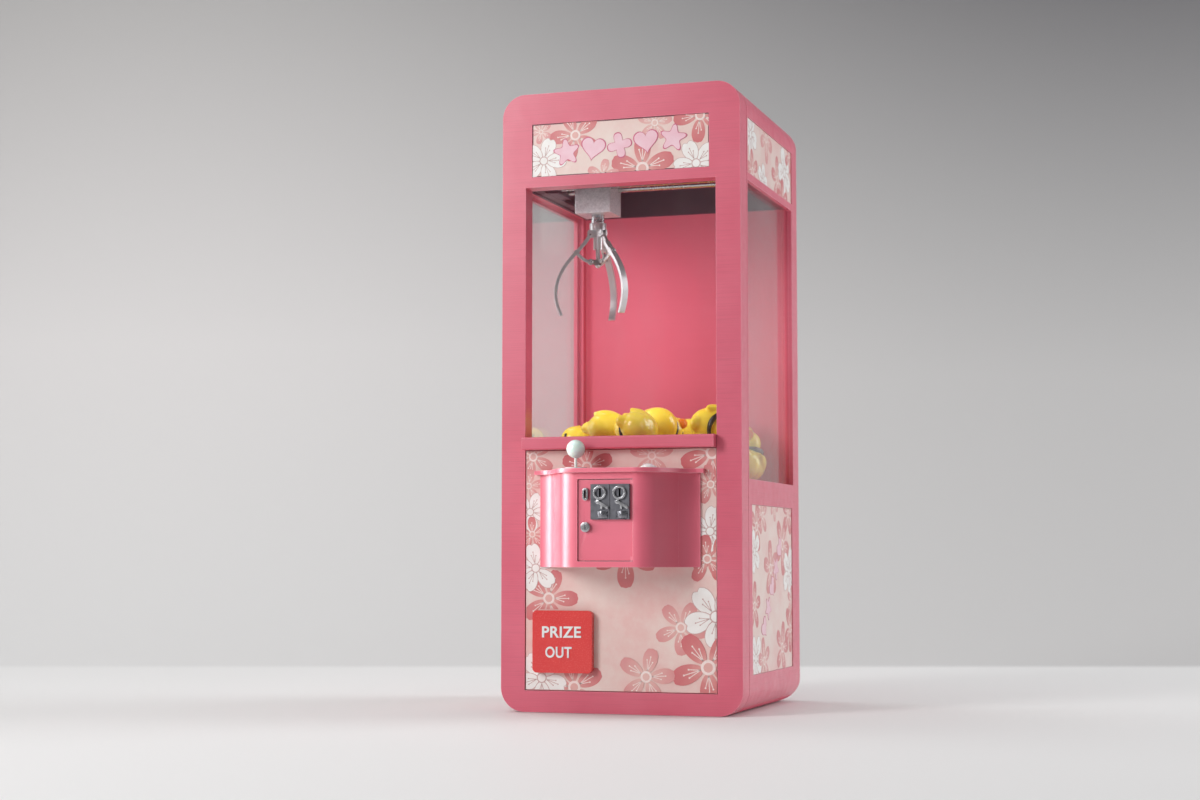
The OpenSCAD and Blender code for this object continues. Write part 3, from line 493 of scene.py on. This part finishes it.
def blossom(sheet, x, y, r, turn, kind, tone=1.0):
    """Five petals with stamens and a ringed heart. kind is coral or white."""
    white = kind == "white"
    fill_ink, line_ink = (IN_WHITE, IN_GREY) if white else (IN_CORAL, IN_PALE)
    half = r * (0.31 if white else 0.245)
    petals = []
    sheet.begin(x, y, r * 1.06)
    for k in range(5):
        a = math.radians(turn + 72 * k) + random.uniform(-0.05, 0.05)
        far = r * random.uniform(0.94, 1.03)
        notch, teeth = (0.09 * r, 0.0) if white else (0.03 * r, 0.018 * r)
        if white:
            rim = 0.012 * r + 0.05
            sheet.shape(petal(x, y, a, 0.12 * r, far, half, notch, rim), line_ink, (x, y), r)
            sheet.rise()
        sheet.shape(petal(x, y, a, 0.14 * r, far, half, notch, teeth=teeth), fill_ink, (x, y), r,
                    tone)
        sheet.rise()
        petals.append(a)
    for a in petals:
        for lean, length in ((-0.1, 0.5), (0.0, 0.66), (0.1, 0.54)):
            if white and lean == 0.0 and r < 5:
                continue
            end = length * r
            sheet.shape(stroke(x, y, a, 0.2 * r, end, 0.018 * r + 0.04, lean * r), line_ink)
            tip = (x + end * math.cos(a) - lean * r * math.sin(a),
                   y + end * math.sin(a) + lean * r * math.cos(a))
            sheet.rise()
            sheet.shape(disc(*tip, 0.02 * r + 0.045, 10), line_ink)
            sheet.level -= 1
    for size, ring_ink in ((0.19, line_ink), (0.15, IN_WHITE if white else IN_PALE),
                           (0.12, fill_ink)):
        sheet.level += 2
        sheet.shape(disc(x, y, size * r), ring_ink, (x, y), r, tone * 0.7)


def heart_outline(cx, cy, size, turn):
    points = []
    for k in range(48):
        t = math.tau * k / 48
        x = 16 * math.sin(t) ** 3
        y = (13 * math.cos(t) - 5 * math.cos(2 * t) - 2 * math.cos(3 * t) - math.cos(4 * t))
        points.append((x / 17, y / 17 + 0.1))
    return placed(points, cx, cy, size, turn)


def star_outline(cx, cy, size, turn):
    points = []
    for k in range(60):
        t = math.tau * k / 60
        r = 0.76 + 0.24 * math.cos(5 * t) + 0.04 * math.cos(10 * t)
        points.append((r * math.sin(t), r * math.cos(t)))
    return placed(points, cx, cy, size, turn)


def clover_outline(cx, cy, size, turn):
    points = []
    for k in range(64):
        t = math.tau * k / 64
        r = 0.74 + 0.26 * math.cos(4 * t) - 0.05 * math.cos(8 * t)
        points.append((r * math.sin(t), r * math.cos(t)))
    return placed(points, cx, cy, size, turn)


def placed(points, cx, cy, size, turn):
    """An outline scaled, turned by degrees and moved to its place."""
    c, s = math.cos(math.radians(turn)) * size, math.sin(math.radians(turn)) * size
    return [(cx + x * c - y * s, cy + x * s + y * c) for x, y in points]


def icon(sheet, outline, x, y, size, turn, rim):
    """A generic motif with a darker rim, where the photo's print has lettering."""
    sheet.begin(x, y, size + rim)
    sheet.shape(outline(x, y, size + rim, turn), IN_RIM)
    sheet.rise()
    sheet.shape(outline(x, y, size, turn), IN_ICON)


def sheet_windows(lo, hi, hole=None):
    """The sheet's rectangle, or the four rectangles round a hole in it."""
    if hole is None:
        return [(lo, hi)]
    (x0, y0), (x1, y1) = hole
    return [(lo, (x0, hi[1])), ((x1, lo[1]), hi), ((x0, lo[1]), (x1, y0)), ((x0, y1), (x1, hi[1]))]


def front_gap(name, lo, hi, width, height):
    """Painted shadow in the gap round a front sheet: a thin closed dark frame along the sheet's own
    rim.
    """
    bm = bmesh.new()
    loops = []
    for inset, rise in ((0, 0), (0, height), (width, height), (width, 0)):
        x0, z0, x1, z1 = lo.x + inset, lo.z + inset, hi.x - inset, hi.z - inset
        loops.append([bm.verts.new(Vector((x, lo.y - rise, z)) * MM)
                      for x, z in ((x0, z0), (x1, z0), (x1, z1), (x0, z1))])
    for j in range(4):
        for i in range(4):
            k, q = (i + 1) % 4, (j + 1) % 4
            bm.faces.new((loops[j][i], loops[j][k], loops[q][k], loops[q][i]))
    piece(name, finished(name, bm), "cabinet", "dark_housing", GAP_SHADOW)


def mm(corner):
    return Vector(corner) / MM


# Each blossom's row holds its middle across and up, its radius, its turn in degrees, its kind,
# and how strong its ink is.

# lower front sheet, drawn from the middle of the cabinet and from the floor, with a hole
# behind the prize door
lo, hi = map(mm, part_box("lower_front_print"))
flap_lo, flap_hi = map(mm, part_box("prize_door"))
hole = ((flap_lo.x + 0.9, flap_lo.z + 0.9), (flap_hi.x - 0.9, flap_hi.z + 0.3))
front = Print((0, lo.y * MM, 0), (1, 0, 0), (0, -1, 0),
              sheet_windows((lo.x + 0.1, lo.z + 0.1), (hi.x - 0.1, hi.z - 0.1), hole))
for x, y, r, turn, kind, tone in (
        (-9.0, 63.4, 7.4, 90, "coral", 1.0), (8.6, 66.0, 6.0, 20, "coral", 0.0),
        (24.6, 66.6, 9.0, 200, "coral", 1.0), (-23.8, 66.2, 6.4, -30, "coral", 0.55),
        (-25.0, 58.6, 4.6, 10, "coral", 0.35), (-24.6, 51.8, 5.6, 60, "white", 1.0),
        (-24.0, 46.0, 4.6, 95, "coral", 0.75), (24.2, 58.5, 5.5, 30, "coral", 0.6),
        (24.0, 46.6, 6.4, 150, "white", 1.0), (24.9, 40.0, 6.2, 210, "coral", 0.95),
        (-19.4, 29.4, 8.2, 72, "coral", 0.85), (-23.0, 37.2, 6.4, -42, "white", 1.0),
        (1.4, 40.8, 9.2, -90, "coral", 0.7), (23.2, 39.6, 6.4, 238, "coral", 0.9),
        (16.2, 22.2, 7.2, 58, "coral", 0.25), (25.4, 25.0, 8.4, 125, "white", 1.0),
        (23.4, 12.2, 10.2, 128, "coral", 0.95), (7.0, 9.6, 7.9, 78, "coral", 0.2),
        (-12.4, 6.6, 8.8, 30, "coral", 0.85), (-21.3, 8.9, 7.2, -18, "white", 1.0)):
    blossom(front, x, y, r, turn, kind, tone)
front.finish("front_blossoms")

# header sheet, drawn from its own middle, with its five icons in a row and a painted shadow in the
# gap round it
lo, hi = map(mm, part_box("header_print"))
header = Print((0, lo.y * MM, 0), (1, 0, 0), (0, -1, 0),
               sheet_windows((lo.x + 0.05, lo.z + 0.05), (hi.x - 0.05, hi.z - 0.05)))
middle = (lo.z + hi.z) / 2
for x, y, r, turn, kind, tone in (
        (-21.8, 5.0, 3.4, 40, "coral", 0.3), (-12.2, 3.5, 7.4, 110, "coral", 0.9),
        (-21.0, -2.8, 6.3, 72, "white", 1.0), (9.6, 5.4, 5.0, 10, "coral", 0.0),
        (6.2, -6.4, 9.2, 18, "coral", 0.9), (21.8, 6.6, 7.2, 190, "coral", 0.9),
        (20.7, -5.9, 6.5, 45, "white", 1.0), (-4.6, -7.6, 4.6, 80, "coral", 0.1)):
    blossom(header, x, middle + y, r, turn, kind, tone)
for k, (outline, turn) in enumerate((
        (star_outline, 8), (heart_outline, -10), (clover_outline, 12), (heart_outline, 7),
        (star_outline, -9))):
    icon(header, outline, -14.6 + 7.3 * k, middle - 0.9 + 0.5 * k, 3.35, turn, 0.32)
header.finish("header_blossoms")
front_gap("header_gap_shadow", lo, hi, width=0.22, height=0.03)

# side sheets, the same prints on both sides, drawn from the sheet's middle and its lower edge,
# with a slanted row of icons on the lower ones
SIDE_LOWER = ((-17.5, 38.0, 7.0, 80, "coral", 0.8), (-19.8, 31.5, 6.0, 35, "white", 1.0),
              (-11.0, 41.0, 5.6, 30, "coral", 0.35), (12.0, 33.5, 8.4, 60, "coral", 0.75),
              (-2.0, 27.0, 8.0, 95, "coral", 0.55), (19.6, 26.0, 7.4, 140, "white", 1.0),
              (19.0, 42.0, 6.4, 10, "coral", 0.8), (-20.0, 17.5, 6.6, 15, "coral", 0.85),
              (-19.0, 4.0, 6.8, 50, "white", 1.0), (-10.0, 3.0, 6.6, 100, "coral", 0.4),
              (11.0, 5.6, 7.6, 75, "coral", 0.8), (20.6, 10.5, 6.8, 130, "coral", 0.9),
              (2.6, 44.0, 4.6, 60, "coral", 0.1), (22.0, 18.0, 4.4, 80, "coral", 0.3))
SIDE_HEADER = ((-21.5, 10.6, 7.0, 60, "white", 1.0), (-19.5, 1.2, 6.4, 30, "coral", 0.6),
               (-8.5, 0.4, 5.4, 75, "white", 1.0), (-4.0, 13.0, 7.0, 200, "coral", 0.15),
               (9.0, 4.0, 7.0, 95, "coral", 0.55), (17.5, 7.5, 7.6, 40, "white", 1.0),
               (15.0, -1.0, 6.6, 20, "coral", 0.9), (23.5, 13.5, 5.4, 140, "coral", 0.7))
for label, out in (("right", 1), ("left", -1)):
    for name, table, part in (("side_lower_prints", SIDE_LOWER, "side"),
                              ("side_header_prints", SIDE_HEADER, "side_header")):
        lo, hi = map(mm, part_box(name))
        half = (hi.y - lo.y) / 2 - 0.05
        centre = (lo.y + hi.y) / 2
        side = Print((hi.x * out * MM, centre * MM, 0), (0, out, 0), (out, 0, 0),
                     sheet_windows((-half, lo.z + 0.05), (half, hi.z - 0.05)))
        for x, y, r, turn, kind, tone in table:
            blossom(side, x, lo.z + y, r, turn, kind, tone)
        if part == "side":
            for k in range(5):
                outline = (heart_outline, star_outline)[k % 2]
                icon(side, outline, -9.5 + 4.5 * k, lo.z + 11.5 + 5.2 * k, 2.9, 42, 0.24)
        side.finish(f"{part}_blossoms_{label}")


# ---- raised words on the prize door --------------------------------------------------

WORD_HEIGHT, WORD_DEPTH = 2.9, 0.44  # in millimetres


def raised_word(name, word, centre, width):
    """Generic raised lettering on the prize door, facing the front and fitted to a width."""
    curve = bpy.data.curves.new(name, "FONT")
    curve.body = word
    curve.offset = 0.022
    curve.extrude = 0.5
    curve.resolution_u = 6
    curve.space_character = 1.06
    shape = bpy.data.objects.new(name, curve)
    bpy.context.scene.collection.objects.link(shape)
    bpy.context.view_layer.update()
    depsgraph = bpy.context.evaluated_depsgraph_get()
    mesh = bpy.data.meshes.new_from_object(shape.evaluated_get(depsgraph))
    bpy.data.objects.remove(shape)
    xs = [v.co.x for v in mesh.vertices]
    ys = [v.co.y for v in mesh.vertices]
    sx = width / (max(xs) - min(xs))
    sy = WORD_HEIGHT / (max(ys) - min(ys))
    mx, my = (max(xs) + min(xs)) / 2, (max(ys) + min(ys)) / 2
    for v in mesh.vertices:
        x, y, z = (v.co.x - mx) * sx, (v.co.y - my) * sy, v.co.z * WORD_DEPTH
        v.co = Vector(centre) + Vector((x, -z, y)) * MM
    mesh.update()
    obj = piece(name, mesh, "prize_door", "white_plastic", WHITE)
    weld = obj.modifiers.new("weld", "WELD")
    weld.merge_threshold = WELD
    edge = obj.modifiers.new("soft_edges", "BEVEL")
    edge.width = 0.06 * MM
    edge.segments = 2


# each word's place is measured from the door's lower left corner, in millimetres
for name, word, right, up, width in (("flap_word_top", "PRIZE", 8.0, 10.5, 10.6),
                                     ("flap_word_low", "OUT", 7.2, 5.3, 7.2)):
    place = ((flap_lo.x + right) * MM, (flap_lo.y + 0.02) * MM, (flap_lo.z + up) * MM)
    raised_word(name, word, place, width)


# ---- ducks ---------------------------------------------------------------------------

def ball(bm, centre, radii, turn=Matrix.Identity(4), detail=3):
    """An ellipsoid. The balls of a body are fused afterwards by a remesh."""
    made = bmesh.ops.create_icosphere(bm, subdivisions=detail, radius=1.0)["verts"]
    place = Matrix.Translation(centre) @ turn @ Matrix.Diagonal((*radii, 1))
    bmesh.ops.transform(bm, matrix=place, verts=made)


def strap_ring(bm, centre, radii, tube, tilt, wave):
    """A strap that goes once round an egg-shaped section, thicker and thinner by wave."""
    n, m = 56, 10  # points along the strap, and round its section
    turn = Matrix.Rotation(tilt, 3, "Y")
    rows = []
    for i in range(n):
        a = math.tau * i / n
        row = []
        for j in range(m):
            b = math.tau * j / m
            swell = 1 + (tube * (1 + wave * math.sin(3 * a)) * math.cos(b)) / radii[0]
            p = Vector((radii[0] * math.cos(a) * swell, radii[1] * math.sin(a) * swell,
                        tube * 1.5 * math.sin(b)))
            row.append(bm.verts.new(Vector(centre) + turn @ p))
        rows.append(row)
    for i in range(n):
        for j in range(m):
            k, q = (i + 1) % n, (j + 1) % m
            bm.faces.new((rows[i][j], rows[k][j], rows[k][q], rows[i][q]))


def duck(name, place, turns, size):
    """A plain bath duck, drawn upright in millimetres with its beak towards +X."""
    roll, pitch, yaw = map(math.radians, turns)
    where = (Matrix.Translation(Vector(place) * MM) @ Matrix.Rotation(yaw, 4, "Z")
             @ Matrix.Rotation(pitch, 4, "Y") @ Matrix.Rotation(roll, 4, "X")
             @ Matrix.Scale(size * MM, 4))

    def build(part, draw, material, voxel=0.0):
        bm = bmesh.new()
        draw(bm)
        bmesh.ops.transform(bm, matrix=where, verts=bm.verts)
        full_name = f"{name}_{part}"
        obj = piece(full_name, finished(full_name, bm), "cabinet", "duck_yellow", material)
        obj.data.shade_smooth()
        if voxel:
            fuse = obj.modifiers.new("fuse", "REMESH")
            fuse.mode = "VOXEL"
            fuse.voxel_size = voxel * MM
            fuse.use_smooth_shade = True
            soft = obj.modifiers.new("soft", "SMOOTH")
            soft.factor, soft.iterations = 0.7, 9
        return obj

    def body(bm):
        ball(bm, (-0.2, 0, 4.9), (5.3, 4.9, 4.75), detail=4)
        ball(bm, (-2.9, 0, 4.9), (4.0, 4.0, 4.3))
        ball(bm, (-5.9, 0, 7.0), (2.3, 1.9, 1.3), Matrix.Rotation(0.6, 4, "Y"))
        ball(bm, (1.0, 0, 8.2), (2.5, 2.6, 1.8))
        ball(bm, (1.9, 0, 10.7), (3.6, 3.55, 3.5), detail=4)
        for s in (-1, 1):
            ball(bm, (-1.3, s * 4.35, 5.5), (3.1, 0.9, 1.9), Matrix.Rotation(0.25, 4, "Y"))
            ball(bm, (-3.3, s * 4.2, 6.3), (1.6, 0.7, 1.0), Matrix.Rotation(0.7, 4, "Y"))
        ball(bm, (1.2, 0, 13.9), (0.9, 0.5, 0.5), Matrix.Rotation(0.5, 4, "Y"))

    def beak(bm):
        ball(bm, (5.5, 0, 10.2), (1.5, 1.45, 0.45), Matrix.Rotation(-0.12, 4, "Y"))
        ball(bm, (5.3, 0, 9.65), (1.25, 1.2, 0.4), Matrix.Rotation(0.18, 4, "Y"))

    def eyes(bm):
        for s in (-1, 1):
            ball(bm, (4.55, s * 1.75, 11.7), (0.42, 0.5, 0.66), Matrix.Rotation(s * 0.5, 4, "Z"))

    def strap(bm):
        strap_ring(bm, (0.45, 0, 8.25), (4.0, 3.85), tube=0.5, tilt=0.2, wave=0.2)

    made = build("body", body, YELLOW, 0.32 * size)
    build("beak", beak, ORANGE, 0.16 * size)
    build("eyes", eyes, BLACK)
    build("strap", strap, BLACK)
    return made


# each duck's place in millimetres, its turns about X, Y and Z in degrees, and its scale
DUCKS_BELOW = (
    ((15, 9.8, 64.2), (-80, 15, 356), 0.96), ((-3.3, -3.6, 65.2), (90, 0, 216), 0.92),
    ((22.5, -11.6, 64.6), (-80, 15, 168), 1.04), ((5.7, 8.1, 64.3), (-80, 15, 208), 0.98),
    ((-22.9, 6, 60.15), (0, 0, 210), 1.16), ((-12.1, 12.2, 66.1), (100, 10, 152), 0.97),
    ((-17.1, 18.9, 64.3), (-80, 15, 69), 0.98), ((23.9, 7.5, 60.15), (0, 0, 100), 1.02),
    ((6.9, -16.7, 65.8), (90, 0, 201), 1.03))
DUCKS_ON_TOP = (
    ((11.2, 10.3, 72.4), (0, 100, 163), 1.02), ((16.3, 0.2, 75.7), (100, 10, 32), 1.16),
    ((-9.5, -4.2, 75.4), (-90, 0, 42), 0.96), ((2.2, -9.5, 76.2), (-100, -20, 8), 1.09),
    ((16.2, 12.6, 74.8), (90, 0, 197), 1.08), ((-10.6, 8.3, 74), (-80, 15, 2), 1),
    ((5.4, -18.4, 73), (-80, 15, 75), 0.97))
for node, table in (("prize_ducks_lower", DUCKS_BELOW), ("prize_ducks_upper", DUCKS_ON_TOP)):
    label = node.removeprefix("prize_")
    for k, (place, turns, size) in enumerate(table):
        made = duck(f"{label}_{k + 1}", place, turns, size)
        if k == 0:
            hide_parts(node)


# ---- stage, lights and camera --------------------------------------------------------

YAW = math.radians(18.16)  # the camera's turn about Z. The backdrop is turned as far, to face it.


def studio_grey(name, wall):
    """Pale matt paper. The wall is one-sided, and carries painted shade: it darkens with height and
    towards the right.
    """
    s = Shader(name, Roughness=0.6)
    grain = s.ramp(s.noise(700, 3), (0.3, 0.985), (0.7, 1.0))
    s.set("Normal", s.bump(s.noise(900, 3), 0.05, 0.05 * MM))
    if not wall:
        s.set("Base Color", s.mix(1.0, (0.78, 0.775, 0.77), grain, "MULTIPLY"))
        return s.mat
    # painted shade: lighter low on the left, darker towards the top and the right
    rise = s.add("ShaderNodeMapRange", {"Value": s.axis("Z"), "From Min": 0.0, "From Max": 0.4})
    across = s.math("ADD", s.math("MULTIPLY", s.axis("X"), math.cos(YAW)),
                    s.math("MULTIPLY", s.axis("Y"), math.sin(YAW)))
    right = s.add("ShaderNodeMapRange", {"Value": across, "From Min": -0.35, "From Max": 0.35},
                  interpolation_type="SMOOTHSTEP")
    painted_lit_ramp = s.ramp(rise.outputs[0], (0.0, (0.72, 0.715, 0.71)), (0.4, (0.68, 0.66, 0.655)),
                    (1.0, (0.38, 0.37, 0.365)))
    painted_shade_ramp = s.ramp(rise.outputs[0], (0.0, (0.54, 0.53, 0.525)), (0.35, (0.49, 0.48, 0.475)),
                 (1.0, (0.175, 0.17, 0.175)))
    shade = s.mix(right.outputs[0], painted_lit_ramp, painted_shade_ramp)
    s.set("Base Color", s.mix(1.0, shade, grain, "MULTIPLY"))
    back = s.add("ShaderNodeNewGeometry").outputs["Backfacing"]
    clear = s.add("ShaderNodeBsdfTransparent")
    both = s.add("ShaderNodeMixShader", {0: back, 1: s.bsdf.outputs[0], 2: clear.outputs[0]})
    s.tree.links.new(both.outputs[0], s.output.inputs["Surface"])
    return s.mat


def stage_mesh(name, rows, material):
    """A grid of points as a sheet that belongs to the studio and not to the object."""
    bm = bmesh.new()
    grid = [[bm.verts.new(p) for p in row] for row in rows]
    for a, b in zip(grid, grid[1:]):
        for i in range(len(a) - 1):
            bm.faces.new((a[i], a[i + 1], b[i + 1], b[i]))
    mesh = bpy.data.meshes.new(name)
    bm.to_mesh(mesh)
    bm.free()
    mesh.materials.append(material)
    mesh.shade_smooth()
    obj = bpy.data.objects.new(name, mesh)
    bpy.context.scene.collection.objects.link(obj)
    return obj


def build_stage():
    """A pale floor, and behind it a wall that curves up out of the floor."""
    turn = Matrix.Rotation(YAW, 3, "Z")
    wide = 2.6
    floor_z = -0.05 * MM  # just under the feet
    ground = [[Vector((x, y, floor_z)) for x in (-wide, wide)] for y in (-wide, wide)]
    floor = stage_mesh("studio_floor", ground, studio_grey("floor_paper", False))
    near, bend = 0.20, 0.55
    profile = [(near + bend * math.sin(a), bend * (1 - math.cos(a)))
               for a in [math.radians(3 * k) for k in range(31)]]
    profile += [(near + bend, bend + 0.2 * k) for k in range(1, 9)]
    rows = [[turn @ Vector((x, y, z)) for x in (-wide, 0, wide)] for y, z in profile]
    return floor, stage_mesh("studio_sweep", rows, studio_grey("sweep_paper", True))


def softbox(name, place, target, size, watts, color=(1, 1, 1)):
    """A rectangular area lamp that stands at place and faces target."""
    lamp = bpy.data.lights.new(name, "AREA")
    lamp.shape = "RECTANGLE"
    lamp.size, lamp.size_y = size
    lamp.energy = watts
    lamp.color = color
    obj = bpy.data.objects.new(name, lamp)
    bpy.context.scene.collection.objects.link(obj)
    obj.location = place
    obj.rotation_euler = (Vector(target) - Vector(place)).to_track_quat("-Z", "Y").to_euler()
    return obj


def leave_out(lamp, *objects):
    """Keeps a lamp's light off some objects, like a flag on a stand."""
    flags = bpy.data.collections.new(f"{lamp.name}_flags")
    lamp.light_linking.receiver_collection = flags
    for obj in objects:
        flags.objects.link(obj)
    for entry in flags.collection_objects:
        entry.light_linking.link_state = "EXCLUDE"


def light_only(lamp, *objects):
    """Lets a lamp light these objects and no others."""
    lit = bpy.data.collections.new(f"lit_by_{lamp.name}")
    lamp.light_linking.receiver_collection = lit
    for obj in objects:
        lit.objects.link(obj)


def nodes(*names):
    return [NODES[name] for name in names]


stage = build_stage()
softbox("key_left", (-0.50, -0.74, 0.50), (0, 0, 0.13), (0.5, 0.5), 1.2, (1.0, 0.985, 0.97))
sheen = softbox("sheen_left", (-0.34, -0.50, 0.29), (0, -0.03, 0.13), (0.16, 0.28), 1.6)
strip = softbox("strip_left", (-0.76, -0.28, 0.12), (-0.015, -0.04, 0.05), (0.45, 0.4), 7.4)
side = softbox("side_left", (-0.82, -0.10, 0.30), (0, 0, 0.08), (0.5, 0.6), 2.2)
fill = softbox("fill_right", (0.86, 0.42, 0.42), (0, 0, 0.08), (0.5, 0.8), 6.2, (0.96, 0.98, 1.0))
softbox("top_soft", (0.0, -0.02, 0.95), (0, 0, 0.1), (0.9, 0.7), 3.4)
softbox("sweep_wash", (-0.55, 0.25, 0.95), (-0.2, 0.9, 0.25), (0.6, 0.5), 2.9)

leave_out(sheen, *nodes("front_glass", "side_glass_left", "side_glass_right"))
light_only(strip, *nodes("control_box", "control_top", "coin_door", "carriage_block",
                         "joystick_ball"))
leave_out(side, *stage)
leave_out(fill, *nodes("control_box", "coin_door"))

# a lamp inside the cabinet that lights its walls and prizes, and leaves out the crane
lamp = softbox("cabinet_lamp", (-0.010, -0.019, 0.112), (-0.016, 0.03, 0.094), (0.04, 0.03), 0.018)
lamp.visible_camera = lamp.visible_glossy = lamp.visible_transmission = False
light_only(lamp, *nodes("cabinet_shell", "play_deck", "prize_chute"),
           *(obj for obj in bpy.context.scene.objects if obj.name.startswith("ducks")))

world = bpy.data.worlds.new("studio")
world.use_nodes = True
background = world.node_tree.nodes["Background"].inputs
background["Color"].default_value = (0.62, 0.62, 0.63, 1)
background["Strength"].default_value = 0.3
bpy.context.scene.world = world

# the camera was fitted to the cabinet's edges in the photo
camera = bpy.data.cameras.new("camera")
camera.sensor_width = 36
camera.lens = 61.23
camera.clip_start, camera.clip_end = 0.01, 20
eye = bpy.data.objects.new("camera", camera)
bpy.context.scene.collection.objects.link(eye)
eye.location = (0.1592, -0.5340, 0.0398)
eye.rotation_euler = (math.radians(94.43), 0, YAW)
bpy.context.scene.camera = eye
focus = bpy.data.objects.new("focus", None)
bpy.context.scene.collection.objects.link(focus)
focus.location = (0.004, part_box("front_bezel")[0].y, 0.08)
camera.dof.use_dof = True
camera.dof.focus_object = focus
camera.dof.aperture_fstop = 18

bpy.context.scene.view_settings.view_transform = "Standard"
bpy.context.scene.cycles.use_denoising = True
bpy.context.scene.cycles.transparent_max_bounces = 24
